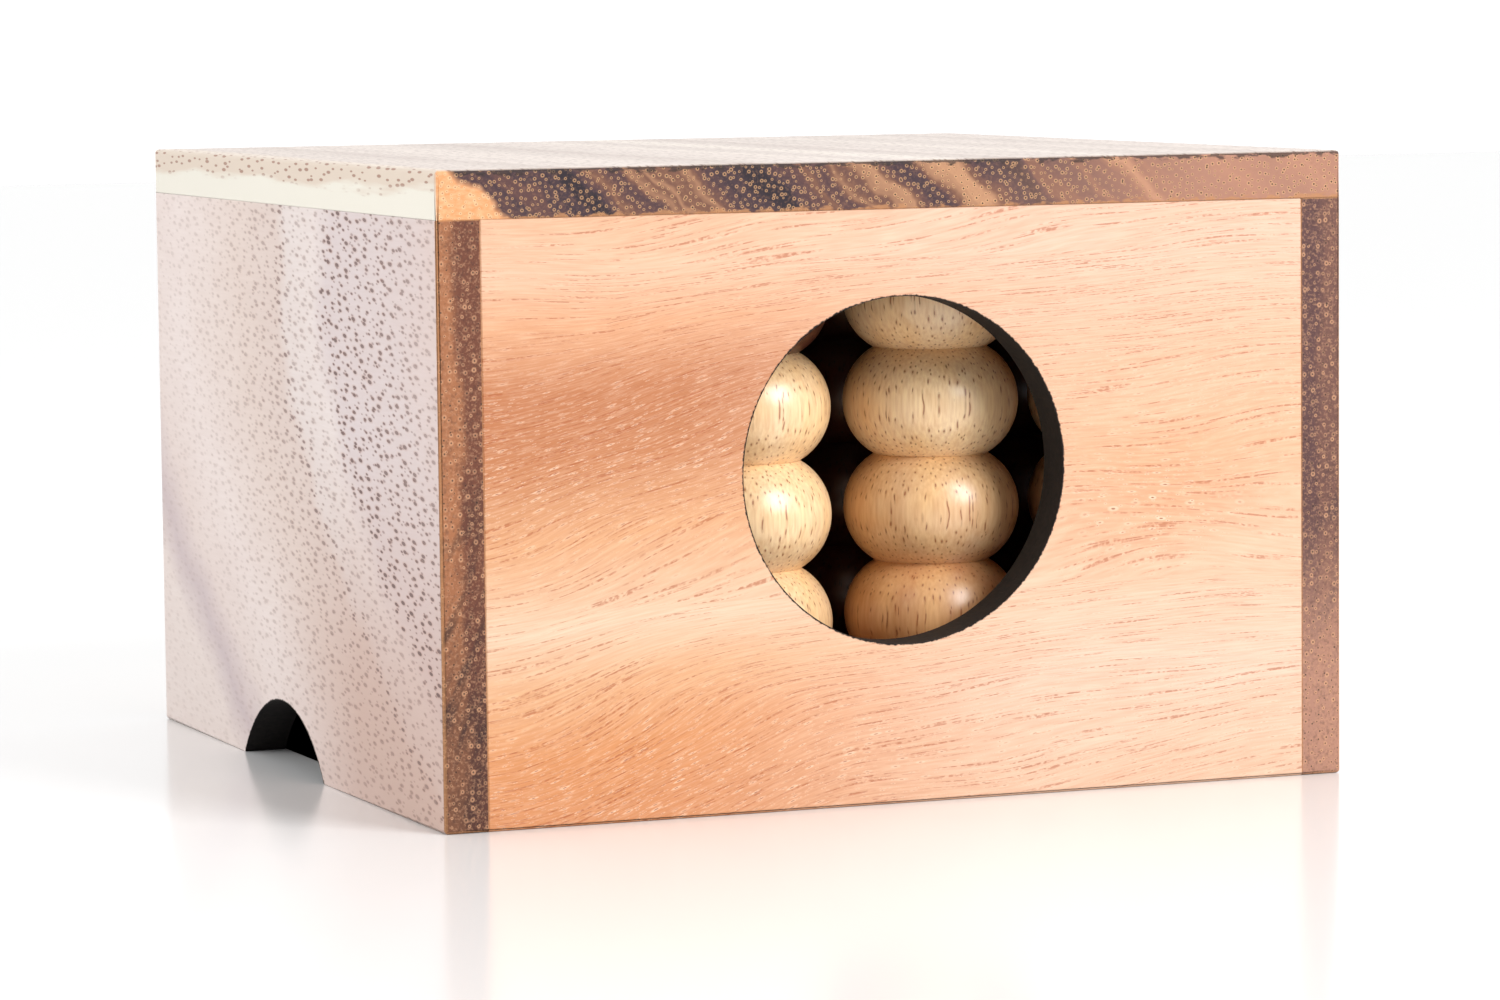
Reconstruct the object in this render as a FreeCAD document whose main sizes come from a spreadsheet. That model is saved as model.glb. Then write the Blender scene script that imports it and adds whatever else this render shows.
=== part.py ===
"""Boxed four-by-four bead game: a lift-off cover over a peg board full of wooden beads.

The box stands on a table.  The origin is the middle of the resting plane, +X runs to the
right along the front, +Y runs away from the front and +Z is up.  Millimetres.
"""

import FreeCAD
import Part
import math
import os
import Sketcher

# Driving dimensions: each one is a cell of the sheet.
DIMENSIONS = {
    "side_thick": 7.0,        # the four upright panels
    "top_thick": 7.5,
    "side_space": 6.0,        # between the outer beads and the cover
    "head_gap": 3.1,          # between the rods and the underside of the top panel
    "edge_round": 0.6,        # sanded outer edges of the cover
    "window_dia": 54.0,       # round window in the front panel
    "window_height": 52.0,    # its centre, above the table
    "notch_dia": 54.0,        # finger notch: a segment of a circle this wide
    "notch_rise": 11.0,       # its top, above the table
    "notch_offset": 6.0,      # its middle, behind the middle of the end panel
    "window_ease": 0.4,       # broken edge of the window
    "board_thick": 18.0,
    "board_gap": 1.0,         # between the peg board and the cover, all round
    "board_ease": 1.5,
    "rod_dia": 8.0,
    "rod_round": 1.5,         # rounded upper end
    "rod_proud": 3.0,         # rod above a full stack of beads
    "socket_depth": 12.0,     # blind hole that a rod is glued in
    "glue_gap": 0.05,         # on the radius, between a rod and its socket
    "bead_dia": 28.2,
    "bead_thick": 17.1,
    "bead_space": 4.4,        # between the beads of two rods
    "bead_flat_dia": 18.2,    # flat ring on which the beads stack
    "bore_gap": 0.5,          # on the radius, between a rod and a bead
    "bore_ease": 0.6,         # bevel at both ends of a bead's hole
}
COLUMNS = "abcd"              # left to right
ROWS = "1234"                 # front to back
BEADS_UP = 4                  # beads on a rod
LOWER_BEADS = 2               # of these, the ones that share a sub-part
TOLERANCE = 1e-3              # within this, two lengths count as equal


class Size:
    """A length tied to the sheet: its number now, and the formula that keeps it true."""

    def __init__(self, number, formula):
        self.number = number
        self.formula = formula

    def joined(self, sign, other, number):
        formula = other.formula if isinstance(other, Size) else repr(other)
        return Size(number, f"({self.formula} {sign} {formula})")

    def __add__(self, other):
        return self.joined("+", other, self.number + number_of(other))

    def __sub__(self, other):
        return self.joined("-", other, self.number - number_of(other))

    def __mul__(self, other):
        return self.joined("*", other, self.number * number_of(other))

    def __truediv__(self, other):
        return self.joined("/", other, self.number / number_of(other))

    def __neg__(self):
        return self * -1.0


def number_of(value):
    return value.number if isinstance(value, Size) else value


def make_sheet(doc):
    """Puts the driving dimensions in a sheet, and gives each back as a Size."""
    sheet = doc.addObject("Spreadsheet::Sheet", "sizes")
    sizes = {}
    for row, (alias, number) in enumerate(DIMENSIONS.items(), start=1):
        sheet.set(f"A{row}", alias)
        sheet.set(f"B{row}", str(number))
        sheet.setAlias(f"B{row}", alias)
        sizes[alias] = Size(number, f"{sheet.Name}.{alias}")
    doc.recompute()
    return sizes


doc = FreeCAD.newDocument("bead_game")
size = make_sheet(doc)
ZERO = Size(0.0, "0")

# Derived sizes that several pieces share.  The beads set the size of the box round them.
PITCH = size["bead_dia"] + size["bead_space"]
FIRST_COLUMN = -PITCH * ((len(COLUMNS) - 1) / 2)
FIRST_ROW = -PITCH * ((len(ROWS) - 1) / 2)
HALF_INNER_WIDTH = size["bead_dia"] / 2 + size["side_space"] - FIRST_COLUMN
HALF_INNER_DEPTH = size["bead_dia"] / 2 + size["side_space"] - FIRST_ROW
HALF_WIDTH = HALF_INNER_WIDTH + size["side_thick"]
HALF_DEPTH = HALF_INNER_DEPTH + size["side_thick"]
ROD_RADIUS = size["rod_dia"] / 2
STACK_HEIGHT = size["bead_thick"] * BEADS_UP
ROD_FOOT = size["board_thick"] - size["socket_depth"]
ROD_LENGTH = size["socket_depth"] + STACK_HEIGHT + size["rod_proud"]
PANEL_HEIGHT = ROD_FOOT + ROD_LENGTH + size["head_gap"]


def column_place(index):
    """Centre of a column of rods, from the middle of the board."""
    return FIRST_COLUMN + PITCH * index


def row_place(index):
    """Centre of a row of rods, from the middle of the board."""
    return FIRST_ROW + PITCH * index


def make_body(label, x=ZERO, y=ZERO, z=ZERO):
    body = doc.addObject("PartDesign::Body", label)
    body.Label = label
    for axis, place in (("x", x), ("y", y), ("z", z)):
        body.setExpression(f"Placement.Base.{axis}", place.formula)
    return body


def sketch_on(body, role, name):
    """A sketch on one of the body's own origin planes."""
    plane = next(item for item in body.Origin.OriginFeatures if item.Role == role)
    sketch = body.newObject("Sketcher::SketchObject", name)
    sketch.AttachmentSupport = [(plane, "")]
    sketch.MapMode = "FlatFace"
    return sketch


def tie(sketch, kind, refers_to, value):
    """Adds a dimension to the sketch and binds it to the value's formula."""
    index = sketch.addConstraint(Sketcher.Constraint(kind, *refers_to, value.number))
    sketch.setExpression(f"Constraints[{index}]", value.formula)


def tie_point(sketch, geometry, point, x, y):
    """Holds a point of the sketch at x and y from the sketch's origin."""
    tie(sketch, "DistanceX", (-1, 1, geometry, point), x)
    tie(sketch, "DistanceY", (-1, 1, geometry, point), y)


def draw_outline(sketch, corners):
    """A closed outline of straight sides through the corners."""
    places = [FreeCAD.Vector(x.number, y.number, 0) for x, y in corners]
    for side, place in enumerate(places):
        sketch.addGeometry(Part.LineSegment(place, places[(side + 1) % len(places)]), False)
    for side, (x, y) in enumerate(corners):
        before = (side - 1) % len(corners)
        sketch.addConstraint(Sketcher.Constraint("Coincident", before, 2, side, 1))
        tie_point(sketch, side, 1, x, y)


def draw_rectangle(sketch, width, depth):
    """A rectangle about the sketch's origin."""
    x = width / 2
    y = depth / 2
    draw_outline(sketch, [(-x, -y), (x, -y), (x, y), (-x, y)])


def draw_circle(sketch, x, y, radius):
    centre = FreeCAD.Vector(x.number, y.number, 0)
    normal = FreeCAD.Vector(0, 0, 1)
    index = sketch.addGeometry(Part.Circle(centre, normal, radius.number), False)
    tie_point(sketch, index, 3, x, y)
    tie(sketch, "Radius", (index,), radius)


def pad(body, sketch, height, name):
    feature = body.newObject("PartDesign::Pad", name)
    feature.Profile = sketch
    feature.setExpression("Length", height.formula)
    sketch.Visibility = False
    doc.recompute()
    return feature


def cut_through(body, sketch, name):
    """Cuts the sketch right through the body, both ways from its plane."""
    before = body.Shape.Volume
    feature = body.newObject("PartDesign::Pocket", name)
    feature.Profile = sketch
    feature.Type = "ThroughAll"
    feature.Midplane = True
    doc.recompute()
    if not body.Shape.Volume < before:
        raise ValueError(f"{body.Label}: {name} cuts nothing")
    return feature


def edges_where(feature, test):
    """Names of the feature's edges whose middle passes the test."""
    edges = feature.Shape.Edges
    names = [f"Edge{i}" for i, edge in enumerate(edges, start=1) if test(edge.CenterOfMass)]
    if not names:
        raise ValueError(f"{feature.Label} has no such edge")
    return names


def near(value, target):
    return abs(value - target) < TOLERANCE


def ease(body, kind, feature, test, amount, name):
    """Rounds (Fillet) or bevels (Chamfer) the edges that pass the test."""
    eased = body.newObject(f"PartDesign::{kind}", name)
    eased.Base = (feature, edges_where(feature, test))
    eased.setExpression("Radius" if kind == "Fillet" else "Size", amount.formula)
    doc.recompute()
    return eased


def make_board(label, width, depth, height, x=ZERO, y=ZERO, z=ZERO):
    """A plain board that stands on z, with its middle over x and y."""
    body = make_body(label, x, y, z)
    sketch = sketch_on(body, "XY_Plane", "footprint")
    draw_rectangle(sketch, width, depth)
    return body, pad(body, sketch, height, "board")


def make_top():
    """Top panel: covers the edges of all four upright panels."""
    body, board = make_board("cover_top", HALF_WIDTH * 2, HALF_DEPTH * 2, size["top_thick"],
                             z=PANEL_HEIGHT)
    middle = size["top_thick"].number / 2
    ease(body, "Fillet", board, lambda at: at.z > middle - TOLERANCE, size["edge_round"],
         "sanded")
    return body


def make_front():
    """Front panel: stands between the end panels, and has the round window."""
    body, _ = make_board("cover_front", HALF_INNER_WIDTH * 2, size["side_thick"], PANEL_HEIGHT,
                         y=-HALF_DEPTH + size["side_thick"] / 2)
    sketch = sketch_on(body, "XZ_Plane", "window")
    draw_circle(sketch, ZERO, size["window_height"], size["window_dia"] / 2)
    cut = cut_through(body, sketch, "window_cut")
    height = size["window_height"].number
    ease(body, "Chamfer", cut, lambda at: near(at.x, 0) and near(at.z, height),
         size["window_ease"], "window_edge")
    return body


def make_back():
    """Back panel: as the front panel, without a window."""
    body, _ = make_board("cover_back", HALF_INNER_WIDTH * 2, size["side_thick"], PANEL_HEIGHT,
                         y=HALF_DEPTH - size["side_thick"] / 2)
    return body


def make_end(label, side):
    """End panel, with a finger notch in its lower edge; side is -1 (left) or 1 (right)."""
    body, board = make_board(label, size["side_thick"], HALF_DEPTH * 2, PANEL_HEIGHT,
                             x=(HALF_WIDTH - size["side_thick"] / 2) * side)
    outside = side * size["side_thick"].number / 2
    corner = HALF_DEPTH.number
    ease(body, "Fillet", board, lambda at: near(at.x, outside) and near(abs(at.y), corner),
         size["edge_round"], "sanded")
    sketch = sketch_on(body, "YZ_Plane", "notch")
    draw_circle(sketch, size["notch_offset"], size["notch_rise"] - size["notch_dia"] / 2,
                size["notch_dia"] / 2)
    cut_through(body, sketch, "notch_cut")
    return body


def make_peg_board():
    """Peg board: fits loosely inside the cover, with a blind socket for each rod."""
    body, board = make_board("base_board", (HALF_INNER_WIDTH - size["board_gap"]) * 2,
                             (HALF_INNER_DEPTH - size["board_gap"]) * 2, size["board_thick"])
    middle = size["board_thick"].number / 2
    eased = ease(body, "Fillet", board, lambda at: at.z > middle - TOLERANCE,
                 size["board_ease"], "eased")
    before = eased.Shape.Volume
    sketch = sketch_on(body, "XY_Plane", "sockets")
    for index in range(len(ROWS)):
        draw_circle(sketch, FIRST_COLUMN, row_place(index), ROD_RADIUS + size["glue_gap"])
    sketch.setExpression("AttachmentOffset.Base.z", size["board_thick"].formula)
    socket = body.newObject("PartDesign::Pocket", "socket_row")
    socket.Profile = sketch
    socket.setExpression("Length", size["socket_depth"].formula)
    doc.recompute()
    pattern = body.newObject("PartDesign::LinearPattern", "socket_rows")
    pattern.Originals = [socket]
    pattern.Direction = (sketch, ["H_Axis"])
    pattern.setExpression("Length", (PITCH * (len(COLUMNS) - 1)).formula)
    pattern.Occurrences = len(COLUMNS)
    body.Tip = pattern
    doc.recompute()
    holes = (before - body.Shape.Volume) / (socket.Length.Value * math.pi)
    radius = ROD_RADIUS.number + size["glue_gap"].number
    if not near(holes / radius ** 2, len(ROWS) * len(COLUMNS)):
        raise ValueError("base_board has the wrong number of sockets")
    return body


def make_rod(column, row):
    body = make_body(f"rod_{COLUMNS[column]}{ROWS[row]}", column_place(column), row_place(row),
                     ROD_FOOT)
    sketch = sketch_on(body, "XY_Plane", "section")
    draw_circle(sketch, ZERO, ZERO, ROD_RADIUS)
    rod = pad(body, sketch, ROD_LENGTH, "rod")
    length = ROD_LENGTH.number
    ease(body, "Fillet", rod, lambda at: near(at.z, length), size["rod_round"], "end")
    return body


def make_bead(label, column, row, level):
    """A turned bead: flat ring above and below, round side, bevelled hole along its axis."""
    body = make_body(label, column_place(column), row_place(row),
                     size["board_thick"] + size["bead_thick"] * level)
    sketch = sketch_on(body, "XZ_Plane", "profile")
    thick = size["bead_thick"]
    bore = ROD_RADIUS + size["bore_gap"]
    bevel = bore + size["bore_ease"]
    flat = size["bead_flat_dia"] / 2
    bulge = size["bead_dia"] / 2 - flat
    half = thick / 2
    round_side = (half * half + bulge * bulge) / (bulge * 2)
    corners = [(flat, thick), (bevel, thick), (bore, thick - size["bore_ease"]),
               (bore, size["bore_ease"]), (bevel, ZERO), (flat, ZERO)]
    places = [FreeCAD.Vector(x.number, y.number, 0) for x, y in corners]
    for side in range(len(corners) - 1):
        sketch.addGeometry(Part.LineSegment(places[side], places[side + 1]), False)
        tie_point(sketch, side, 1, *corners[side])
        if side > 0:
            sketch.addConstraint(Sketcher.Constraint("Coincident", side - 1, 2, side, 1))
    last = len(corners) - 2
    tie_point(sketch, last, 2, *corners[-1])
    widest = FreeCAD.Vector(flat.number + bulge.number, half.number, 0)
    arc = sketch.addGeometry(Part.Arc(places[-1], widest, places[0]), False)
    sketch.addConstraint(Sketcher.Constraint("Coincident", last, 2, arc, 1))
    sketch.addConstraint(Sketcher.Constraint("Coincident", 0, 1, arc, 2))
    tie(sketch, "Radius", (arc,), round_side)
    turned = body.newObject("PartDesign::Revolution", "turned")
    turned.Profile = sketch
    turned.ReferenceAxis = (sketch, ["V_Axis"])
    turned.Angle = 360
    doc.recompute()
    return body


def make_group(label, bodies):
    """One sub-part of several separate solids."""
    group = doc.addObject("Part::Compound", label)
    group.Label = label
    group.Links = bodies
    doc.recompute()
    return group


def make_stack(column, row):
    """The beads on one rod: the lower ones share a sub-part, each other has its own."""
    place = f"{COLUMNS[column]}{ROWS[row]}"
    lower = [make_bead(f"bead_{place}_{level + 1}", column, row, level)
             for level in range(LOWER_BEADS)]
    third = make_bead(f"bead_{place}_third", column, row, LOWER_BEADS)
    top = make_bead(f"bead_{place}_top", column, row, LOWER_BEADS + 1)
    return [make_group(f"beads_{place}_lower", lower), third, top]


def check(part, solids):
    """Stops unless the sub-part is sound and holds the right number of solids."""
    shape = part.Shape
    if shape.isNull() or not shape.isValid():
        raise ValueError(f"{part.Label} has no valid shape")
    if len(shape.Solids) != solids:
        raise ValueError(f"{part.Label} has {len(shape.Solids)} solids, not {solids}")


def main():
    pegs = [(column, row) for column in range(len(COLUMNS)) for row in range(len(ROWS))]
    cover = [make_top(), make_front(), make_back(),
             make_end("cover_left_end", -1), make_end("cover_right_end", 1)]
    rods = make_group("rods", [make_rod(column, row) for column, row in pegs])
    beads = [part for column, row in pegs for part in make_stack(column, row)]
    parts = cover + [make_peg_board(), rods] + beads
    doc.recompute()
    for item in doc.Objects:
        if "Invalid" in item.State or "Error" in item.State:
            raise ValueError(f"{item.Label} failed: {item.State}")
    os.makedirs("parts", exist_ok=True)
    for part in parts:
        solids = len(part.Links) if part.isDerivedFrom("Part::Compound") else 1
        check(part, solids)
        part.Shape.exportStep(f"parts/{part.Label}.step")
    print(len(parts), "sub-parts,", sum(len(part.Shape.Solids) for part in parts), "solids")


main()
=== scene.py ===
# %% [markdown]
# # A boxed bead game in Blender
# The object is a square wooden cover, 152 mm wide and 100 mm high, which lifts off a peg board.
# On the board stand 16 rods, and each rod carries four turned wooden beads.  A round window in
# the front panel shows the first two rows.  The design comes from CAD as a fixed frame, so
# each piece here goes where the frame says, and moves with the body that it belongs to.

import math

import bmesh
import bpy
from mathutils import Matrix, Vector


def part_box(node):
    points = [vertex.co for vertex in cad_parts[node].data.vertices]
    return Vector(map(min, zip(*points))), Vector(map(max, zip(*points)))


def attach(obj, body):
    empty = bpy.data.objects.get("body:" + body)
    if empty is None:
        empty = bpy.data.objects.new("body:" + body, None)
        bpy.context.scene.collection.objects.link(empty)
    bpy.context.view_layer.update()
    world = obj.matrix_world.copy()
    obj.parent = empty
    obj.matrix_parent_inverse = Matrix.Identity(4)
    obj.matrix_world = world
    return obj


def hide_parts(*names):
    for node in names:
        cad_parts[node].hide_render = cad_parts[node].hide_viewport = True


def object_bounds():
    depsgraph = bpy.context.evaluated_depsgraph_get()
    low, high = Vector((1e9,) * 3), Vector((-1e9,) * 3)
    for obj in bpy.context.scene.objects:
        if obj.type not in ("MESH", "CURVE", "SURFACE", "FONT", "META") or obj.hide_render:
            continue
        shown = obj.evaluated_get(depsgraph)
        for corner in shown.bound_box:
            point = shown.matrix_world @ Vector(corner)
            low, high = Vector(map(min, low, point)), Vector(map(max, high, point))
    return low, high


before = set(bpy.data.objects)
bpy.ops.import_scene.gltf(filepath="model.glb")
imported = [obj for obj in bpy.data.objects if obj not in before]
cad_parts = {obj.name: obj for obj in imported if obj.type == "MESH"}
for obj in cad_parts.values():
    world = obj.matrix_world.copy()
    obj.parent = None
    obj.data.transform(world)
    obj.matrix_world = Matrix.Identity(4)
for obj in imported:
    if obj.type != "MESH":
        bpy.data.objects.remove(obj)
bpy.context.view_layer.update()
MM = 0.001

# %% [markdown]
# ## Camera
# The box is seen from its front left corner, a little above the table, through a long lens.
# A long lens keeps the box's edges nearly parallel.

# %% Camera
CAMERA_PLACE = (-0.33946, -0.85297, 0.12437)
CAMERA_TURN = (84.8267, 0.6163, -22.0290)       # degrees about X, Y and Z
CAMERA_LENS = 131.83                            # mm
SENSOR_WIDTH = 36.0                             # mm

bpy.ops.object.camera_add(location=CAMERA_PLACE)
camera = bpy.context.object
camera.name = "camera"
camera.rotation_euler = [math.radians(angle) for angle in CAMERA_TURN]
camera.data.lens = CAMERA_LENS
camera.data.sensor_width = SENSOR_WIDTH
bpy.context.scene.camera = camera
print("camera", [round(value, 3) for value in camera.location])

# %% [markdown]
# ## Colours and nodes
# Wood colours are easiest to write as sRGB hex values, the way a paint chart gives them.
# Shaders work in linear light, so one function converts them.  A second small function adds a
# node, sets it up and links it, which keeps each material short enough to read.


# %% Two helpers for materials
def linear(hex_code):
    """An sRGB colour such as "C08040" as linear red, green, blue and alpha."""
    channels = [int(hex_code[i:i + 2], 16) / 255 for i in (0, 2, 4)]
    light = [c / 12.92 if c <= 0.04045 else ((c + 0.055) / 1.055) ** 2.4 for c in channels]
    return light + [1.0]


def add_node(tree, kind, inputs=None, stops=None, **settings):
    """Adds a node and returns its outputs.

    inputs maps a socket's name or number to a value or to the output that feeds it, and stops
    lists a colour ramp's places and colours.
    """
    made = tree.nodes.new("ShaderNode" + kind)
    for name, value in settings.items():
        setattr(made, name, value)
    for socket, value in (inputs or {}).items():
        if isinstance(value, bpy.types.NodeSocket):
            tree.links.new(value, made.inputs[socket])
        else:
            made.inputs[socket].default_value = value
    if stops:
        elements = made.color_ramp.elements
        while len(elements) < len(stops):
            elements.new(1.0)
        for element, (place, colour) in zip(elements, stops):
            element.position = place
            element.color = linear(colour)
    return made.outputs


def start_material(name):
    """An empty material, with its node tree and the place of each point in mm."""
    material = bpy.data.materials.new(name)
    material.use_nodes = True
    tree = material.node_tree
    tree.nodes.clear()
    at = add_node(tree, "TexCoord")["Object"]
    here = add_node(tree, "Mapping", {"Vector": at, "Scale": (1 / MM, 1 / MM, 1 / MM)})[0]
    return material, tree, here


print("orange is", [round(value, 3) for value in linear("F3B27F")])

# %% [markdown]
# ## What wood is made of
# All the panels are monkeypod, a hardwood with large open vessels.  Three things make it look
# like wood at every cut.  Vessels are thin tubes along the grain, so they are dots on end grain
# and dashes on long grain, each with a paler sheath round it.  Fibres are fine streaks between
# them.  Layers of growth shade the wood in bands.
#
# To run a pattern along the grain, space is squeezed in that direction before the pattern is
# read: a round cell then comes out as a long one.  Vessels are cells in a plane, because a
# flat cut through cells in space would miss the middle of most of them.


# %% Patterns shared by the woods
def squeeze(tree, place, size, turn=(0, 0, 0)):
    """Space in which a cell of this size in mm is one unit each way."""
    turned = add_node(tree, "Mapping", {"Vector": place, "Rotation": turn})[0]
    return add_node(tree, "Mapping", {"Vector": turned, "Scale": [1 / mm for mm in size]})[0]


def streaks(tree, place, size, detail=3.0, low=0.3, high=0.7, turn=(0, 0, 0)):
    """Cloudy streaks of this size in mm, from 0 to 1."""
    cells = squeeze(tree, place, size, turn)
    cloud = add_node(tree, "TexNoise", {"Vector": cells, "Scale": 1.0, "Detail": detail})["Fac"]
    return add_node(tree, "MapRange", {"Value": cloud, "From Min": low, "From Max": high})[0]


def vessels(tree, across, along, size, hole, sheath, angle=0.0):
    """Vessels in the plane of two lengths in mm: masks of holes and of sheaths, and a chance.

    size is the spacing each way in mm, and hole and sheath are radii in cells.
    """
    plane = add_node(tree, "CombineXYZ", {0: across, 1: along})[0]
    cells = squeeze(tree, plane, (*size, 1.0), (0, 0, math.radians(angle)))
    cell = add_node(tree, "TexVoronoi", {"Vector": cells, "Scale": 1.0, "Randomness": 0.9},
                    voronoi_dimensions="2D")
    chance = add_node(tree, "SeparateColor", {"Color": cell["Color"]})
    wide = add_node(tree, "MapRange", {"Value": chance[0], "To Min": 0.65, "To Max": 1.25})[0]
    gone = add_node(tree, "Math", {0: cell["Distance"], 1: wide}, operation="DIVIDE")[0]
    masks = [add_node(tree, "MapRange", {"Value": gone, "From Min": radius * 1.2,
                                         "From Max": radius * 0.7},
                      interpolation_type="SMOOTHSTEP")[0] for radius in (hole, sheath)]
    return *masks, chance[1]


# A Mix node's sockets when it mixes colours.
MIX_AMOUNT, MIX_BELOW, MIX_ABOVE, MIX_COLOUR_OUT = 0, 6, 7, 2


def lay(tree, below, above, mask, strength=1.0):
    """Lays one colour over another as strongly as a mask says; a hex code or an output each."""
    colours = [linear(c) if isinstance(c, str) else c for c in (below, above)]
    amount = add_node(tree, "Math", {0: mask, 1: strength}, operation="MULTIPLY")[0]
    mixed = add_node(tree, "Mix", {MIX_AMOUNT: amount, MIX_BELOW: colours[0],
                                   MIX_ABOVE: colours[1]}, data_type="RGBA")
    return mixed[MIX_COLOUR_OUT]


def char(tree, here, colour, across, up, hole):
    """Burns the wood black inside a sawn hole, which has a middle and a radius in mm."""
    (middle_across, middle_up), radius = hole
    across = add_node(tree, "Math", {0: across, 1: middle_across}, operation="SUBTRACT")[0]
    up = add_node(tree, "Math", {0: up, 1: middle_up}, operation="SUBTRACT")[0]
    flat = add_node(tree, "CombineXYZ", {0: across, 1: up})[0]
    away = add_node(tree, "VectorMath", {0: flat}, operation="LENGTH")["Value"]
    ragged = streaks(tree, here, (0.6, 0.6, 0.6), detail=2.0)
    away = add_node(tree, "Math", {0: ragged, 1: 0.2, 2: away}, operation="MULTIPLY_ADD")[0]
    burn = add_node(tree, "MapRange", {"Value": away, "From Min": radius + 0.40,
                                       "From Max": radius + 0.22})[0]
    soot = lay(tree, "0C0908", "1C1614", streaks(tree, here, (0.8, 0.8, 0.8)))
    return lay(tree, colour, soot, burn), burn


def lacquer(material, tree, colour, dents, rough, coat, shine=0.3, depth=0.05):
    """Satin lacquer over the wood: dents is 1 where it is pitted, by a depth in mm.

    shine stays a plain number on the shader's socket; what varies over a panel is its roughness.
    """
    bump = add_node(tree, "Bump", {"Height": dents, "Distance": depth * MM, "Strength": 0.6},
                    invert=True)[0]
    surface = add_node(tree, "BsdfPrincipled",
                       {"Base Color": colour, "Normal": bump, "Roughness": rough,
                        "Specular IOR Level": shine, "Coat Weight": coat,
                        "Coat Roughness": 0.32})[0]
    add_node(tree, "OutputMaterial", {"Surface": surface})
    return material


# %% [markdown]
# ### Front and back panels
# Monkeypod sapwood side, planed, sanded and lacquered: peach to orange, with the grain along X.
# The fibres rise to the right in the left half and run level near the top.  Vessels show as
# pale dashes with a brown pip where the fibres dive, and as long dotted lines where they lie
# level.  The tone mostly follows the height, and the right side is paler.


# %% Front panel wood
WALL_HEIGHT = 92.5                  # mm, from the table to the underside of the top panel
HALF_WIDTH = 76                     # mm, from the middle of the box to its side


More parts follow.
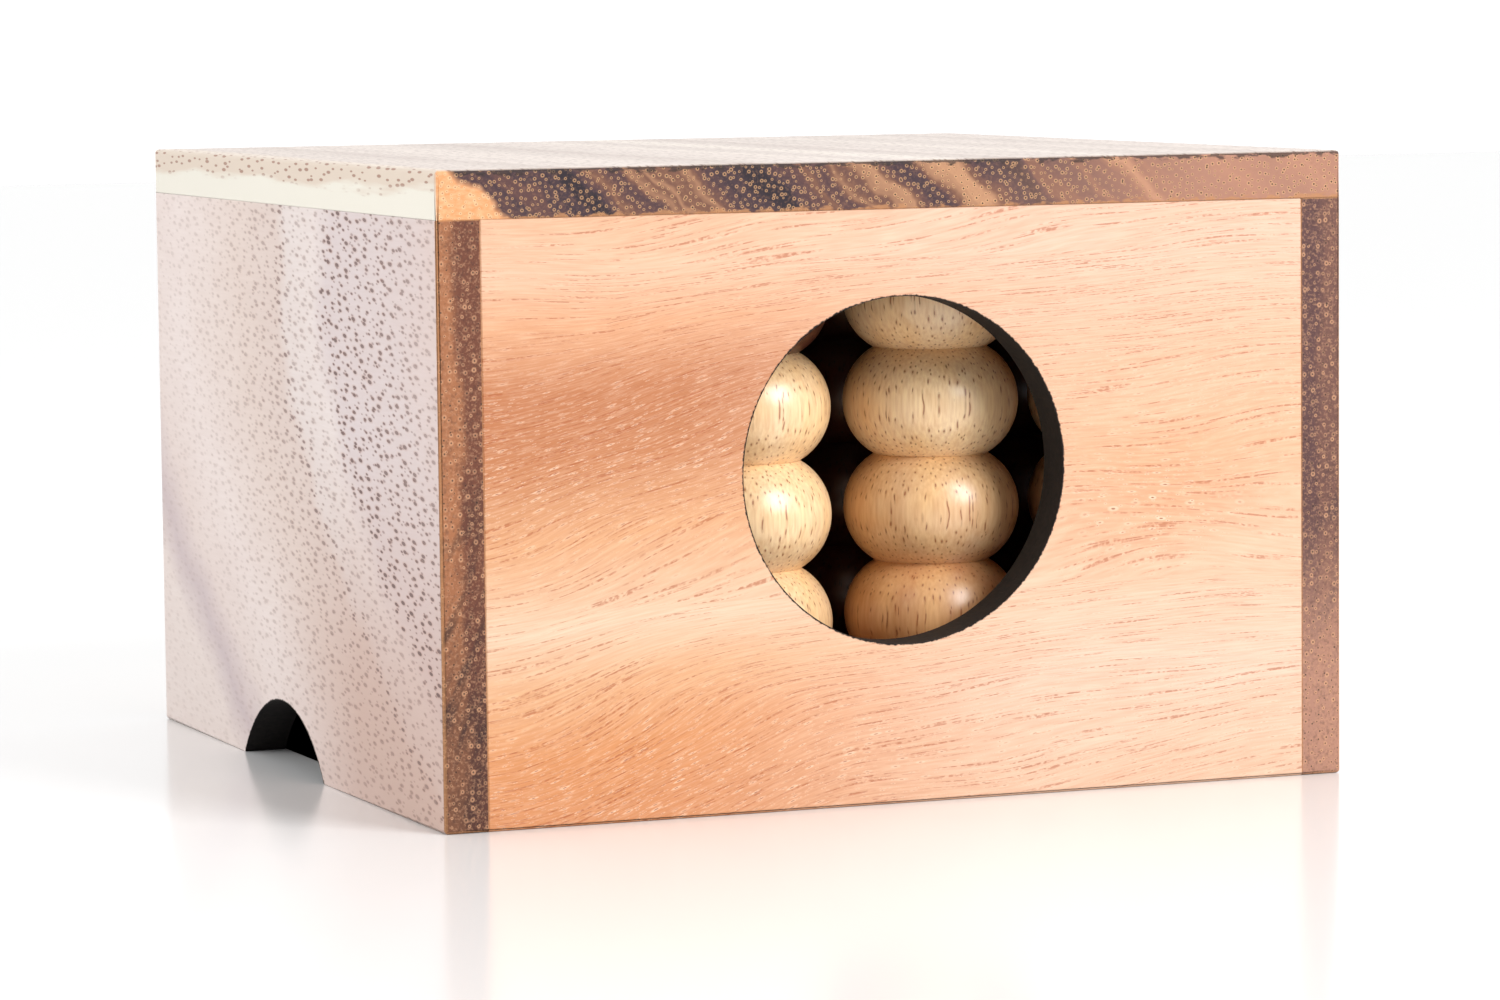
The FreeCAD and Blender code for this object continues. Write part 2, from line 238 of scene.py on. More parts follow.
def make_front_wood(name, window=None):
    """Peach long-grain wood; window is the middle (X, Z) and radius of a charred hole, in mm."""
    material, tree, here = start_material(name)
    x, y, z = add_node(tree, "SeparateXYZ", {0: here})[:3]

    # Fibre lines: z less the rise of the line through this point.
    rise = add_node(tree, "MapRange", {"Value": x, "From Min": -HALF_WIDTH, "From Max": -8,
                                       "To Max": 17}, interpolation_type="SMOOTHSTEP")[0]
    height = add_node(tree, "MapRange", {"Value": z, "From Max": WALL_HEIGHT})[0]
    steep = add_node(tree, "ValToRGB", {0: height}, stops=[
        (0.0, "FFFFFF"), (0.20, "F0F0F0"), (0.36, "A0A0A0"), (0.5, "E8E8E8"),
        (0.75, "F0F0F0"), (0.92, "101010")])[0]
    lift = add_node(tree, "Math", {0: rise, 1: steep}, operation="MULTIPLY")[0]
    wander = streaks(tree, here, (70, 30, 34), detail=1.0)
    lift = add_node(tree, "Math", {0: wander, 1: 6.0, 2: lift}, operation="MULTIPLY_ADD")[0]
    lift = add_node(tree, "Math", {0: x, 1: 0.07, 2: lift}, operation="MULTIPLY_ADD")[0]
    line = add_node(tree, "Math", {0: z, 1: lift}, operation="SUBTRACT")[0]
    grain = add_node(tree, "CombineXYZ", {0: x, 1: y, 2: line})[0]

    # Ground: bands by height that lean a little with the fibres, on the left and on the right.
    lean = add_node(tree, "Math", {0: lift, 1: -0.3, 2: z}, operation="MULTIPLY_ADD")[0]
    tone = add_node(tree, "MapRange", {"Value": lean, "From Min": -7, "From Max": 92})[0]
    left = add_node(tree, "ValToRGB", {0: tone}, stops=[
        (0.06, "C48458"), (0.18, "C98857"), (0.28, "D3A37B"), (0.37, "DDC0A6"), (0.50, "CE9B72"),
        (0.63, "AE7049"), (0.73, "AA6A44"), (0.84, "CE9A76"), (0.93, "D8B196"), (1.00, "D2A88A")])[0]
    right = add_node(tree, "ValToRGB", {0: tone}, stops=[
        (0.05, "DAB8A0"), (0.20, "DCBEAA"), (0.38, "DAB79D"), (0.55, "D4A888"), (0.75, "D5AE94"),
        (0.93, "D5B49F")])[0]
    aside = add_node(tree, "MapRange", {"Value": x, "From Min": -45, "From Max": 32},
                     interpolation_type="SMOOTHSTEP")[0]
    ground = lay(tree, left, right, aside)
    spot = add_node(tree, "Mapping", {"Vector": add_node(tree, "CombineXYZ", {
        0: x, 1: line})[0], "Location": (-1.65, -2.2, 0), "Scale": (1 / 26, 1 / 12, 1)})[0]
    spot = add_node(tree, "VectorMath", {0: spot}, operation="LENGTH")["Value"]
    spot = add_node(tree, "MapRange", {"Value": spot, "From Min": 1.0, "From Max": 0.0},
                    interpolation_type="SMOOTHSTEP")[0]
    ground = lay(tree, ground, "C98A5E", spot, 0.45)
    ground = lay(tree, ground, "C98A60", streaks(tree, grain, (30, 20, 5), detail=4.0), 0.18)
    ground = lay(tree, ground, "A8683F", streaks(tree, grain, (7, 1.2, 0.36), detail=4.0), 0.26)
    ground = lay(tree, ground, "F2D0B4", streaks(tree, grain, (5, 1.0, 0.30), detail=3.0,
                                                 low=0.45, high=0.75), 0.22)

    # Short vessels, mostly where the ground is darker.
    dive = add_node(tree, "ValToRGB", {0: tone}, stops=[
        (0.12, "FFFFFF"), (0.26, "A0A0A0"), (0.36, "303030"), (0.48, "A0A0A0"),
        (0.60, "FFFFFF"), (0.76, "C0C0C0"), (0.86, "202020")])[0]
    dive = add_node(tree, "Math", {0: dive, 1: add_node(tree, "MapRange", {
        "Value": aside, "To Min": 1.0, "To Max": 0.45})[0]}, operation="MULTIPLY")[0]
    dive = add_node(tree, "Math", {0: dive, 1: spot}, operation="MAXIMUM")[0]
    for size, strength in (((2.0, 0.50), 0.30), ((4.6, 0.95), 0.34)):
        hole, sheath, chance = vessels(tree, x, line, size, 0.07, 0.19)
        some = add_node(tree, "Math", {0: dive, 1: chance}, operation="MULTIPLY")[0]
        dash = add_node(tree, "Math", {0: sheath, 1: some}, operation="MULTIPLY")[0]
        ground = lay(tree, ground, "F2D2B8", dash, strength * 1.5)
        pip = add_node(tree, "Math", {0: hole, 1: some}, operation="MULTIPLY")[0]
        ground = lay(tree, ground, "7A4426", pip, 1.0)

    # Long vessels: thin dotted lines where the fibres lie level.
    thread = streaks(tree, grain, (14, 1.5, 0.30), detail=1.0, low=0.58, high=0.68)
    dots = streaks(tree, grain, (0.8, 1.5, 0.4), detail=1.0, low=0.38, high=0.60)
    thread = add_node(tree, "Math", {0: thread, 1: dots}, operation="MULTIPLY")[0]
    colour = lay(tree, ground, "9C4E24", thread, 0.6)

    rough = 0.42
    if window:
        colour, burn = char(tree, here, colour, x, z, window)
        rough = add_node(tree, "MapRange", {"Value": burn, "To Min": rough, "To Max": 0.9})[0]
    return lacquer(material, tree, colour, thread, rough=rough, coat=0.08)


# %% [markdown]
# ### End panels
# Monkeypod heartwood with the grain along Y.  Its faces are pale and pinkish, with rows of
# brown vessels in bands; the front and back edges are end grain, which soaks up lacquer and
# goes dark.  An attribute on each face says how far it cuts across the grain.


# %% End panel wood
def make_end_wood(name, notch):
    """Pinkish face, dark end grain; notch is the middle (Y, Z) and radius of a charred hole."""
    material, tree, here = start_material(name)
    x, y, z = add_node(tree, "SeparateXYZ", {0: here})[:3]
    across = add_node(tree, "Attribute", attribute_name="across_grain")["Fac"]

    # Growth layers bend down towards the front below mid height.
    drop = add_node(tree, "MapRange", {"Value": z, "From Min": 75, "From Max": 0,
                                       "To Max": 75})[0]
    drop = add_node(tree, "Math", {0: drop, 1: 1.6}, operation="POWER")[0]
    layer = add_node(tree, "Math", {0: drop, 1: 0.085, 2: y}, operation="MULTIPLY_ADD")[0]
    wander = streaks(tree, here, (14, 14, 14), detail=2.0)
    layer = add_node(tree, "Math", {0: wander, 1: 6.0, 2: layer}, operation="MULTIPLY_ADD")[0]
    tone = add_node(tree, "MapRange", {"Value": layer, "From Min": -HALF_WIDTH,
                                       "From Max": 150})[0]
    ground = add_node(tree, "ValToRGB", {0: tone}, stops=[
        (0.000, "C7B4AE"), (0.100, "C4B6B4"), (0.250, "C4B8B8"), (0.290, "D1C6C2"),
        (0.350, "CDC2BE"), (0.375, "C7B6AE"), (0.470, "CCBBB2"), (0.620, "D6C9C4"),
        (0.720, "D1C2BC"), (0.790, "B6A6A8"), (0.860, "D3C6C0")])[0]
    foot = add_node(tree, "MapRange", {"Value": z, "From Min": 62, "From Max": 10},
                    interpolation_type="SMOOTHSTEP")[0]
    foot = add_node(tree, "Math", {0: foot, 1: add_node(tree, "MapRange", {
        "Value": y, "From Min": 10, "From Max": -35})[0]}, operation="MULTIPLY")[0]
    ground = lay(tree, ground, "A87E6A", foot, 0.6)
    ground = lay(tree, ground, "B89C92", streaks(tree, here, (12, 40, 14)), 0.12)
    ground = lay(tree, ground, "A88C80", streaks(tree, here, (1.0, 9, 0.5)), 0.14)

    # Vessels: large and dark in the front bands, small and faint towards the back, and thick
    # along the lines between the bands.
    strength = add_node(tree, "ValToRGB", {0: tone}, stops=[
        (0.00, "909090"), (0.12, "E8E8E8"), (0.262, "FFFFFF"), (0.275, "A0A0A0"),
        (0.345, "B0B0B0"), (0.362, "F0F0F0"), (0.385, "C0C0C0"), (0.55, "A0A0A0"),
        (0.72, "808080"), (1.0, "707070")])[0]
    back = add_node(tree, "MapRange", {"Value": y, "From Min": -5, "From Max": 45,
                                       "To Min": 1.0, "To Max": 0.6})[0]
    strength = add_node(tree, "Math", {0: strength, 1: back}, operation="MULTIPLY")[0]
    face = ground
    for size, hole_size, bold in (((4.4, 1.45), 0.19, 1.0), ((3.6, 1.15), 0.15, 0.55)):
        hole, sheath, _ = vessels(tree, y, z, size, hole_size, hole_size * 1.6, angle=-6.0)
        dot = add_node(tree, "Math", {0: hole, 1: strength}, operation="MULTIPLY")[0]
        halo = add_node(tree, "Math", {0: sheath, 1: strength}, operation="MULTIPLY")[0]
        face = lay(tree, face, "A87C6A", halo, bold * 0.35)
        face = lay(tree, face, "4A2012", dot, bold * 0.95)
    dents = dot                     # only the smaller vessels are left open by the lacquer

    # End grain: reddish outside, purple-brown inside, with slanting dark streaks.
    inward = add_node(tree, "Math", {0: x}, operation="ABSOLUTE")[0]
    edge = streaks(tree, here, (5, 40, 16), low=0.0, high=1.0)
    inward = add_node(tree, "Math", {0: edge, 1: -7.0, 2: inward}, operation="MULTIPLY_ADD")[0]
    purple = add_node(tree, "MapRange", {"Value": inward, "From Min": 70.2,
                                         "From Max": 68.0}, interpolation_type="SMOOTHSTEP")[0]
    end = lay(tree, "96603F", "643827", purple)
    slash = streaks(tree, here, (2.4, 40, 11), low=0.46, high=0.62,
                    turn=(0, math.radians(-24), 0))
    low = add_node(tree, "ValToRGB", {0: add_node(tree, "MapRange", {
        "Value": z, "From Max": WALL_HEIGHT})[0]}, stops=[
        (0.0, "B0B0B0"), (0.12, "FFFFFF"), (0.5, "E0E0E0"), (0.62, "303030"),
        (0.9, "202020"), (1.0, "606060")])[0]
    slash = add_node(tree, "Math", {0: slash, 1: low}, operation="MULTIPLY")[0]
    end = lay(tree, end, "2A1A18", slash, 0.85)
    foot = add_node(tree, "MapRange", {"Value": z, "From Min": 45, "From Max": 12},
                    interpolation_type="SMOOTHSTEP")[0]
    end = lay(tree, end, "3A221E", foot, 0.6)
    right = add_node(tree, "MapRange", {"Value": x, "From Min": -5, "From Max": 5})[0]
    end = lay(tree, end, lay(tree, "4C3639", "B0826E", foot), right, 0.75)
    end = lay(tree, end, "B98A6A", streaks(tree, here, (0.35, 9, 0.35), low=0.5, high=0.7), 0.4)
    end = lay(tree, end, "38221E", streaks(tree, here, (0.45, 9, 0.5), low=0.5, high=0.7), 0.4)
    core, ring, chance = vessels(tree, x, z, (1.25, 1.35), 0.10, 0.27)
    some = add_node(tree, "Math", {0: ring, 1: chance}, operation="MULTIPLY")[0]
    end = lay(tree, end, "C69470", some, 0.6)
    end = lay(tree, end, "1E1412", core, 0.8)

    cut = add_node(tree, "MapRange", {"Value": across, "From Min": 0.1, "From Max": 0.3})[0]
    colour = lay(tree, face, end, cut)
    # A pale tan line painted along the bevels between the face and the end grain: a painted
    # highlight, where the rounded edges catch the light.
    bevel_highlight = add_node(tree, "ValToRGB", {0: across}, stops=[
        (0.15, "000000"), (0.3, "FFFFFF"), (0.8, "FFFFFF"), (0.95, "000000")])[0]
    colour = lay(tree, colour, "B98658", bevel_highlight, 0.5)
    colour, burn = char(tree, here, colour, y, z, notch)
    dull = add_node(tree, "Math", {0: cut, 1: 0.5, 2: burn}, operation="MULTIPLY_ADD")[0]
    rough = add_node(tree, "MapRange", {"Value": dull, "To Min": 0.40, "To Max": 0.9})[0]
    coat = add_node(tree, "MapRange", {"Value": dull, "To Min": 0.15, "To Max": 0.0,
                                       "From Max": 0.5})[0]
    return lacquer(material, tree, colour, dents, rough=rough, coat=coat)


# %% [markdown]
# ### Top panel
# The same tree nearer its bark: dark heartwood with a strip of sapwood along the left edge.
# The grain runs along Y, so the front edge is end grain, with slanting bands and a tan ring
# round every vessel.


# %% Top panel wood
def make_top_wood(name):
    """Streaked long grain above, banded end grain in front, sapwood along the left edge."""
    material, tree, here = start_material(name)
    x, y, z = add_node(tree, "SeparateXYZ", {0: here})[:3]
    across = add_node(tree, "Attribute", attribute_name="across_grain")["Fac"]

    # Distance along the slanting growth layers' normal.
    slant = add_node(tree, "Math", {0: z, 1: 1.1, 2: x}, operation="MULTIPLY_ADD")[0]
    wander = streaks(tree, here, (7, 60, 7))
    slant = add_node(tree, "Math", {0: wander, 1: 3.5, 2: slant}, operation="MULTIPLY_ADD")[0]
    bands = add_node(tree, "TexNoise", {"W": slant, "Scale": 0.065, "Detail": 4.0},
                     noise_dimensions="1D")["Fac"]

    # End grain: bands of slate, purple-brown and tan, redder towards the right.
    heart = add_node(tree, "ValToRGB", {0: bands}, stops=[
        (0.36, "221820"), (0.44, "3C2A30"), (0.50, "523634"), (0.56, "6C4838"),
        (0.64, "A87C5C")])[0]
    red = add_node(tree, "MapRange", {"Value": x, "From Min": 12, "From Max": 52})[0]
    heart = lay(tree, heart, "AC7C66", red, 0.75)
    heart = lay(tree, heart, "8E664E", streaks(tree, here, (0.4, 12, 0.4), low=0.5, high=0.7),
                0.25)
    core, ring, _ = vessels(tree, x, z, (1.05, 1.0), 0.12, 0.27)
    end = lay(tree, heart, "C6986E", ring, 0.55)
    end = lay(tree, end, "140E0D", core, 0.95)
    ragged = streaks(tree, here, (1.6, 9, 0.8), low=0.35, high=0.65)
    fringe = add_node(tree, "Math", {0: ragged, 1: -0.9, 2: z}, operation="MULTIPLY_ADD")[0]
    foot = add_node(tree, "MapRange", {"Value": fringe, "From Min": 92.6, "From Max": 92.2})[0]
    end = lay(tree, end, "A8764E", foot, 0.75)
    brow = add_node(tree, "MapRange", {"Value": fringe, "From Min": 98.8, "From Max": 99.1})[0]
    end = lay(tree, end, "2A1E1C", brow, 0.8)

    # Long grain: the same bands, paler, as streaks along Y.
    long = add_node(tree, "ValToRGB", {0: bands}, stops=[
        (0.34, "B5A59C"), (0.45, "C1B4AA"), (0.54, "CBBDB4"), (0.66, "D6CBBF")])[0]
    long = lay(tree, long, "8E7466", streaks(tree, here, (0.5, 14, 0.5), detail=4.0), 0.30)
    beside = add_node(tree, "Math", {0: x, 1: z}, operation="ADD")[0]
    slit, _, _ = vessels(tree, beside, y, (1.2, 4.6), 0.20, 0.4)
    long = lay(tree, long, "5E4032", slit, 0.6)

    # Sapwood along the left edge, clear near the bottom and flecked above.
    sap = add_node(tree, "MapRange", {"Value": slant, "From Min": 40.0, "From Max": 38.2})[0]
    sap_end = lay(tree, "CC8A58", "DCAE84", ring, 0.8)
    sap_end = lay(tree, sap_end, "E0B68E", streaks(tree, here, (1.0, 9, 0.5)), 0.5)
    sap_end = lay(tree, sap_end, "7A4A2C", core, 0.6)
    edge = add_node(tree, "Math", {0: streaks(tree, here, (4, 30, 3)), 1: 2.5, 2: z},
                    operation="MULTIPLY_ADD")[0]
    high = add_node(tree, "MapRange", {"Value": edge, "From Min": 97.2, "From Max": 98.4})[0]
    sap_long = lay(tree, "D4CFC2", "C7B7A6", high)
    fleck = add_node(tree, "Math", {0: slit, 1: high}, operation="MULTIPLY")[0]
    sap_long = lay(tree, sap_long, "8A5C44", fleck, 0.9)
    cut = add_node(tree, "MapRange", {"Value": across, "From Min": 0.3, "From Max": 0.8})[0]
    colour = lay(tree, lay(tree, long, end, cut), lay(tree, sap_long, sap_end, cut), sap)
    dents = add_node(tree, "Math", {0: core, 1: cut}, operation="MULTIPLY")[0]
    rough = add_node(tree, "MapRange", {"Value": cut, "To Min": 0.36, "To Max": 0.65})[0]
    coat = add_node(tree, "MapRange", {"Value": cut, "To Min": 0.1, "To Max": 0.0})[0]
    return lacquer(material, tree, colour, dents, rough=rough, coat=coat)


# %% [markdown]
# ### Beads
# Turned on a lathe from dowels, so the grain runs along the hole.  The vessels are straight
# tubes; the round side cuts them into long dashes at the middle and dots near the ends.  Light
# beads are rubberwood under clear lacquer, dark beads are the same wood stained.  A number on
# each bead sets its tone.


# %% Bead wood
def make_bead_wood(name, pale, light, dark, vessel, rough, coat):
    """Turned wood, from pale to dark with the bead's tone, with light streaks between."""
    material, tree, here = start_material(name)
    tone = add_node(tree, "Attribute", attribute_name="bead_tone")["Fac"]
    shift = add_node(tree, "Math", {0: tone, 1: 211.0}, operation="MULTIPLY")[0]
    shift = add_node(tree, "CombineXYZ", {0: shift, 1: shift, 2: shift})[0]
    place = add_node(tree, "VectorMath", {0: here, 1: shift}, operation="ADD")[0]
    colour = lay(tree, pale, dark, tone)
    colour = lay(tree, colour, light, streaks(tree, place, (5, 5, 20)), 0.6)
    colour = lay(tree, colour, dark, streaks(tree, place, (0.5, 0.5, 6), detail=4.0), 0.35)
    bend = add_node(tree, "TexNoise", {"Vector": place, "Scale": 0.35, "Detail": 1.0})["Color"]
    bent = add_node(tree, "VectorMath", {0: bend, 1: (0.9, 0.9, 0.9), 2: place},
                    operation="MULTIPLY_ADD")[0]
    x, y, _ = add_node(tree, "SeparateXYZ", {0: bent})[:3]
    hole, sheath, _ = vessels(tree, x, y, (1.05, 1.05), 0.10, 0.2)
    colour = lay(tree, colour, vessel, sheath, 0.3)
    colour = lay(tree, colour, vessel, hole, 0.85)
    return lacquer(material, tree, colour, hole, rough=rough, coat=coat, shine=0.5,
                   depth=0.04)


# %% [markdown]
# ### Peg board and rods
# The board is plain brown heartwood; the rods are birch dowel.  Both keep the frame's own
# meshes, so only their material changes.


# %% Board and rod wood
def make_plain_wood(name, light, dark, grain):
    """Plain wood with its grain along one axis; grain is a cell's size in mm each way."""
    material, tree, here = start_material(name)
    wide = [length * 9 for length in grain]
    colour = lay(tree, light, dark, streaks(tree, here, wide))
    fine = streaks(tree, here, grain, detail=4.0)
    colour = lay(tree, colour, dark, fine, 0.5)
    return lacquer(material, tree, colour, fine, rough=0.5, coat=0.1, depth=0.02)


# %% Make the woods
WINDOW = ((0.0, 52.0), 27.0)        # middle (X, Z) and radius in mm, as in the CAD
NOTCH = ((6.0, -16.0), 27.0)        # middle (Y, Z) and radius in mm
woods = {
    "front": make_front_wood("monkeypod_front_lacquered", WINDOW),
    "back": make_front_wood("monkeypod_back_lacquered"),
    "end": make_end_wood("monkeypod_end_lacquered", NOTCH),
    "top": make_top_wood("monkeypod_top_lacquered"),
    "light": make_bead_wood("rubberwood_bead_clear", "FFE4B8", "FFD290", "B8661A", "9A5420",
                            0.45, 1.0),
    "dark": make_bead_wood("rubberwood_bead_stained", "54291A", "482216", "200E08", "0E0604",
                           0.32, 0.3),
    "board": make_plain_wood("monkeypod_board_oiled", "8A5A3A", "5A3724", (6.0, 0.6, 0.6)),
    "rod": make_plain_wood("birch_dowel", "E8CFA0", "C9A469", (0.4, 0.4, 6.0)),
}
print("woods:", ", ".join(woods))

# %% [markdown]
# ## Panels
# Each panel starts as a cube at the panel's size and place.  Holes are cut with a cylinder, as
# a hole saw cuts them, and the edges are then bevelled: a fine 0.15 mm on edges that are glued,
# so that the joints show as hair lines, and more on the outer edges, which are sanded.


# %% Tools for panels
HOLE_SIDES = 256
SAW_LENGTH = 0.05                   # metres, well past a panel's thickness on both sides
SHARP = math.radians(30)            # edges that turn more than this are bevelled
ROUND = math.radians(12)            # faces that turn less than this are shaded as one


def only(piece):
    """Selects this object and no other."""
    bpy.ops.object.select_all(action="DESELECT")
    piece.select_set(True)
    bpy.context.view_layer.objects.active = piece


def add_panel(name):
    """A board as large as the CAD node of that name."""
    low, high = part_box(name)
    bpy.ops.object.select_all(action="DESELECT")
    bpy.ops.mesh.primitive_cube_add(size=1.0, location=(low + high) / 2)
    panel = bpy.context.object
    panel.name = name.replace("cover_", "") + "_panel"
    panel.scale = high - low
    bpy.ops.object.transform_apply(location=True, rotation=True, scale=True)
    return panel


def saw_hole(panel, middle, radius, turn):
    """Cuts a round hole through the panel with a cylinder that lies along the turned axis."""
    bpy.ops.object.select_all(action="DESELECT")
    bpy.ops.mesh.primitive_cylinder_add(vertices=HOLE_SIDES, radius=radius, depth=SAW_LENGTH,
                                        location=middle, rotation=turn)
    saw = bpy.context.object
    only(panel)
    cut = panel.modifiers.new("hole", "BOOLEAN")
    cut.operation = "DIFFERENCE"
    cut.solver = "EXACT"
    cut.object = saw
    bpy.ops.object.modifier_apply(modifier=cut.name)
    bpy.data.objects.remove(saw)


def bevel_edges(panel, test, width, segments):
    """Bevels the sharp edges whose two ends pass the test."""
    only(panel)
    bpy.ops.object.mode_set(mode="EDIT")
    bpy.ops.mesh.select_mode(type="EDGE")
    bpy.ops.mesh.select_all(action="DESELECT")
    mesh = bmesh.from_edit_mesh(panel.data)
    for edge in mesh.edges:
        sharp = len(edge.link_faces) == 2 and edge.calc_face_angle(0.0) > SHARP
        edge.select_set(sharp and test(*[corner.co for corner in edge.verts]))
    mesh.select_flush_mode()
    bmesh.update_edit_mesh(panel.data)
    bpy.ops.mesh.bevel(offset=width, segments=segments, profile=0.5, affect="EDGES")
    bpy.ops.object.mode_set(mode="OBJECT")


def mark_end_grain(panel, along):
    """Stores on each face how far it cuts across fibres that run along this direction."""
    cut = panel.data.attributes.new("across_grain", "FLOAT", "FACE")
    cut.data.foreach_set("value", [abs(face.normal.dot(along)) for face in panel.data.polygons])


def finish(piece, body, node, wood):
    """Smooth where it is round, its wood, and its place in the frame."""
    only(piece)
    bpy.ops.object.shade_smooth_by_angle(angle=ROUND)
    piece.data.materials.clear()
    piece.data.materials.append(woods[wood])
    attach(piece, body)
    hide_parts(node)


# %% Cut and finish the five panels
GLUE_LINE = 0.15 * MM
SANDED = 0.6 * MM
X_WAY, Y_WAY = Vector((1, 0, 0)), Vector((0, 1, 0))
QUARTER = math.pi / 2
ON_OUTLINE = 1e-5                   # metres within which a corner counts as on the outline
cover_low, cover_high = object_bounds()


def is_outer(a, b):
    """Whether the edge from a to b lies on the box's outline, with nothing glued to it."""
    sides = 0
    for way in range(3):
        for limit in (cover_low[way], cover_high[way]):
            sides += abs(a[way] - limit) < ON_OUTLINE and abs(b[way] - limit) < ON_OUTLINE
    return sides >= 2


def is_glued(a, b):
    """Whether the edge is some other one, and longer than the facets of a hole's rim."""
    return not is_outer(a, b) and (b - a).length > 1 * MM


def build_panel(name, along, wood, hole=None):
    """One panel from start to finish; hole is the saw's place, radius and turn."""
    panel = add_panel(name)
    if hole:
        saw_hole(panel, *hole)
    bevel_edges(panel, is_outer, SANDED, 3)
    bevel_edges(panel, is_glued, GLUE_LINE, 1)
    mark_end_grain(panel, along)
    finish(panel, "cover", name, wood)
    print(panel.name, len(panel.data.polygons), "faces")


(window_x, window_z), window_radius = WINDOW
(notch_y, notch_z), notch_radius = NOTCH
build_panel("cover_front", X_WAY, "front",
            (Vector((window_x * MM, cover_low.y, window_z * MM)), window_radius * MM,
             (QUARTER, 0, 0)))
build_panel("cover_back", X_WAY, "back")
build_panel("cover_top", Y_WAY, "top")
for side, wall in (("left", cover_low.x), ("right", cover_high.x)):
    build_panel(f"cover_{side}_end", Y_WAY, "end",
                (Vector((wall, notch_y * MM, notch_z * MM)), notch_radius * MM,
                 (0, QUARTER, 0)))

# %% [markdown]
# ## Beads
# A bead is a lathe job, so it is modelled as one: half of its outline, spun round the axis.
# The round side is an arc, trimmed from a circle; a flat ring and a bevelled hole complete it.
# One bead is modelled at the origin, and each of the 64 is a copy with its own mesh.
# Operators skip what they can't select without a word, so the print at the end gives the
# bead's height and its count of open edges: 17.1 mm and 0, if the outline closed.

# %% Model one bead
bead_low, bead_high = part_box("bead_b1_top")
BEAD_RADIUS = (bead_high.x - bead_low.x) / 2
BEAD_HEIGHT = bead_high.z - bead_low.z
FLAT_RADIUS = 9.1 * MM              # outer radius of the flat ring at each end
BORE_RADIUS = 4.5 * MM
BORE_BEVEL = 0.6 * MM
ARC_SIDES = 72                      # sides of the whole circle that the round side is cut from
SPIN_STEPS = 80
NEAR_END = 0.2 * MM                 # less than one side of the arc, so it finds one vertex
EXACT = 1e-6                        # metres


def select_verts(mesh, test):
    """Selects the mesh's vertices that pass the test, and no others."""
    bpy.ops.mesh.select_all(action="DESELECT")
    shape = bmesh.from_edit_mesh(mesh)
    for vert in shape.verts:
        vert.select_set(test(vert.co))
    shape.select_flush_mode()
    bmesh.update_edit_mesh(mesh)


def model_bead():
    """The pattern bead, standing on the origin with its hole along Z."""
    bulge = BEAD_RADIUS - FLAT_RADIUS
    half = BEAD_HEIGHT / 2
    side_radius = (half * half + bulge * bulge) / (2 * bulge)
    side_middle = BEAD_RADIUS - side_radius
    bpy.ops.object.select_all(action="DESELECT")
    bpy.ops.mesh.primitive_circle_add(vertices=ARC_SIDES, radius=side_radius,
                                      location=(side_middle, 0, half),
                                      rotation=(QUARTER, 0, 0))
    bead = bpy.context.object
    bead.name = "bead"
    bpy.ops.object.transform_apply(location=True, rotation=True, scale=True)
    bpy.ops.object.mode_set(mode="EDIT")
    bpy.ops.mesh.select_mode(type="VERT")
    for place, keep in (((side_middle, 0, 0), (-1, 0, 0)), ((0, 0, BEAD_HEIGHT), (0, 0, 1)),
                        ((0, 0, 0), (0, 0, -1))):
        bpy.ops.mesh.select_all(action="SELECT")
        bpy.ops.mesh.bisect(plane_co=place, plane_no=keep, clear_outer=True)
    for end, inward in ((BEAD_HEIGHT, -1), (0.0, 1)):
        # The trim leaves the arc's last vertex just short of the end, so it is moved there.
        select_verts(bead.data, lambda place: abs(place.z - end) < NEAR_END)
        shape = bmesh.from_edit_mesh(bead.data)
        tip = next(vert.co for vert in shape.verts if vert.select)
        bpy.ops.transform.translate(value=Vector((FLAT_RADIUS, 0, end)) - tip)
        steps = [(BORE_RADIUS + BORE_BEVEL - FLAT_RADIUS, 0, 0),
                 (-BORE_BEVEL, 0, inward * BORE_BEVEL)]
        for step in steps:
            bpy.ops.mesh.extrude_region_move(TRANSFORM_OT_translate={"value": step})
    select_verts(bead.data, lambda place: abs(place.x - BORE_RADIUS) < EXACT)
    bpy.ops.mesh.edge_face_add()
    bpy.ops.mesh.select_all(action="SELECT")
    bpy.ops.mesh.spin(steps=SPIN_STEPS, angle=math.tau, center=(0, 0, 0), axis=(0, 0, 1))
    bpy.ops.mesh.select_all(action="SELECT")
    bpy.ops.mesh.remove_doubles(threshold=EXACT)
    bpy.ops.mesh.normals_make_consistent(inside=False)
    bpy.ops.object.mode_set(mode="OBJECT")
    uses = [key for face in bead.data.polygons for key in face.edge_keys]
    print("bead:", len(bead.data.polygons), "faces",
          [round(length / MM, 2) for length in bead.dimensions],
          "open edges:", 2 * len(set(uses)) - len(uses))
    return bead


# %% Copy it onto the rods
COLUMNS, ROWS = "abcd", "1234"
TIERS = ("lower", "lower", "third", "top")
DARK_ONE = ("b1", 3)                # the top bead on this rod is dark, though its row is light
TONES = {"b1": (0.20, 0.08, 0.14, 0.10), "c1": (0.72, 0.40, 0.04, 0.06)}
board_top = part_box("base_board")[1].z


def bead_tone(rod, level):
    """From 0 for the palest to 1 for the brownest: listed for the two rods in the window."""
    if rod in TONES:
        return TONES[rod][level]
    return (COLUMNS.index(rod[0]) * 0.29 + ROWS.index(rod[1]) * 0.17 + level * 0.38) % 0.7


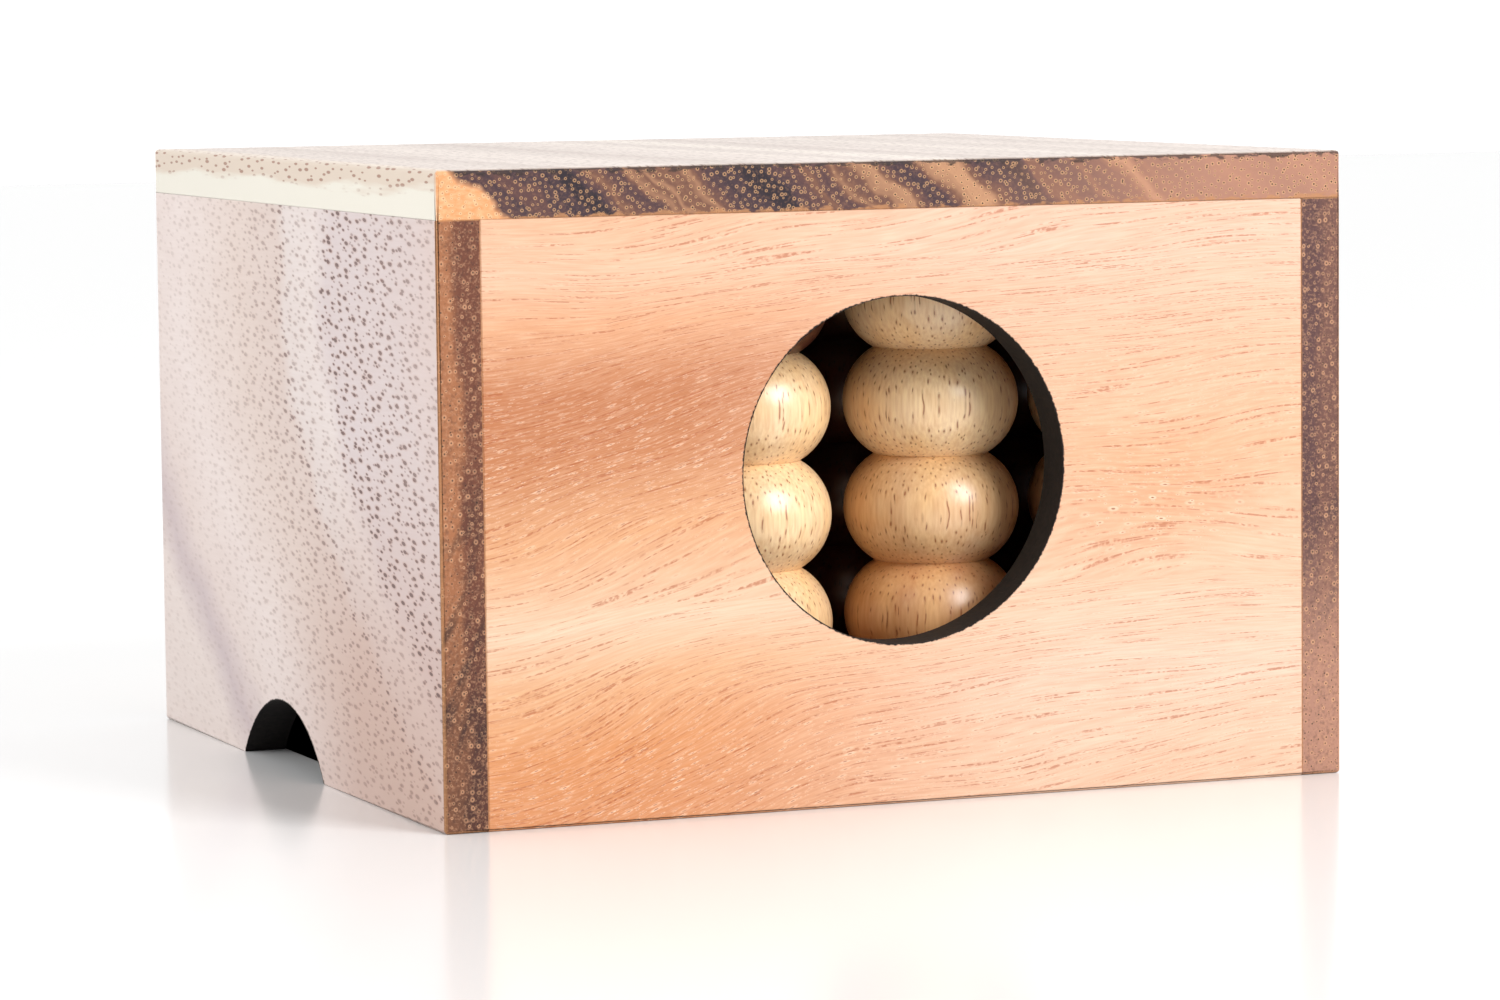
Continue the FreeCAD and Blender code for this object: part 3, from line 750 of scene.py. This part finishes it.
def place_bead(pattern, rod, level):
    """A copy of the pattern bead with its own mesh, level beads up on the rod."""
    tier = TIERS[level]
    node = f"beads_{rod}_lower" if tier == "lower" else f"bead_{rod}_{tier}"
    low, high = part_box(node)
    bead = bpy.data.objects.new(f"bead_{rod}_{level + 1}", pattern.data.copy())
    bpy.context.scene.collection.objects.link(bead)
    only(bead)
    bead.location = ((low.x + high.x) / 2, (low.y + high.y) / 2,
                     board_top + level * BEAD_HEIGHT)
    bpy.ops.object.transform_apply(location=True, rotation=True, scale=True)
    tone = bead.data.attributes.new("bead_tone", "FLOAT", "POINT")
    tone.data.foreach_set("value", [bead_tone(rod, level)] * len(bead.data.vertices))
    wood = "light" if rod[1] in "13" and (rod, level) != DARK_ONE else "dark"
    finish(bead, f"{tier}_{rod}", node, wood)


pattern = model_bead()
for rod in [column + row for column in COLUMNS for row in ROWS]:
    for level in range(len(TIERS)):
        place_bead(pattern, rod, level)
bpy.data.objects.remove(pattern)
print("beads placed")

# %% Board and rods keep the frame's meshes
for node, wood in (("base_board", "board"), ("rods", "rod")):
    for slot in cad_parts[node].material_slots:
        slot.material = woods[wood]

# %% [markdown]
# ## Floor and light
# A white acrylic table, which mirrors the box faintly, under broad soft light, as in a product
# studio.

# %% Floor
FLOOR_SIZE = 6.0                    # metres

bpy.ops.object.select_all(action="DESELECT")
bpy.ops.mesh.primitive_plane_add(size=FLOOR_SIZE, location=(0, 0, 0))
floor = bpy.context.object
floor.name = "floor"
acrylic, tree, _ = start_material("white_acrylic_table")
surface = add_node(tree, "BsdfPrincipled", {"Base Color": linear("E0E0E0"), "Roughness": 0.17,
                                            "Specular IOR Level": 0.5})[0]
add_node(tree, "OutputMaterial", {"Surface": surface})
floor.data.materials.append(acrylic)

# %% Lights
SKY_BEHIND, SKY_IN_FRONT = 1.15, 0.12           # the room is bright behind the box, dim before it
AIM = Vector((0, 0, 0.05))                      # the middle of the box

world = bpy.data.worlds.new("studio")
world.use_nodes = True
tree = world.node_tree
back = add_node(tree, "SeparateXYZ", {0: add_node(tree, "TexCoord")["Generated"]})["Y"]
bright = add_node(tree, "MapRange", {"Value": back, "From Min": -0.8, "From Max": -0.1,
                                     "To Min": SKY_IN_FRONT, "To Max": SKY_BEHIND})[0]
tree.links.new(bright, tree.nodes["Background"].inputs["Strength"])
tree.nodes["Background"].inputs["Color"].default_value = linear("FFFFFF")
bpy.context.scene.world = world


def add_softbox(name, place, size, power):
    """A soft light of this size in metres and power in watts, turned to the box."""
    bpy.ops.object.light_add(type="AREA", location=place)
    lamp = bpy.context.object
    lamp.name = name
    lamp.data.shape = "RECTANGLE"
    lamp.data.size, lamp.data.size_y = size
    lamp.data.energy = power
    lamp.rotation_euler = (AIM - Vector(place)).to_track_quat("-Z", "Y").to_euler()
    print(name, power, "W")


add_softbox("left_softbox", (-0.9, -0.15, 0.45), (0.8, 0.8), 4.9)
add_softbox("front_softbox", (0.50, -0.95, 0.62), (0.55, 0.65), 16.5)

bpy.context.scene.view_settings.view_transform = "Standard"
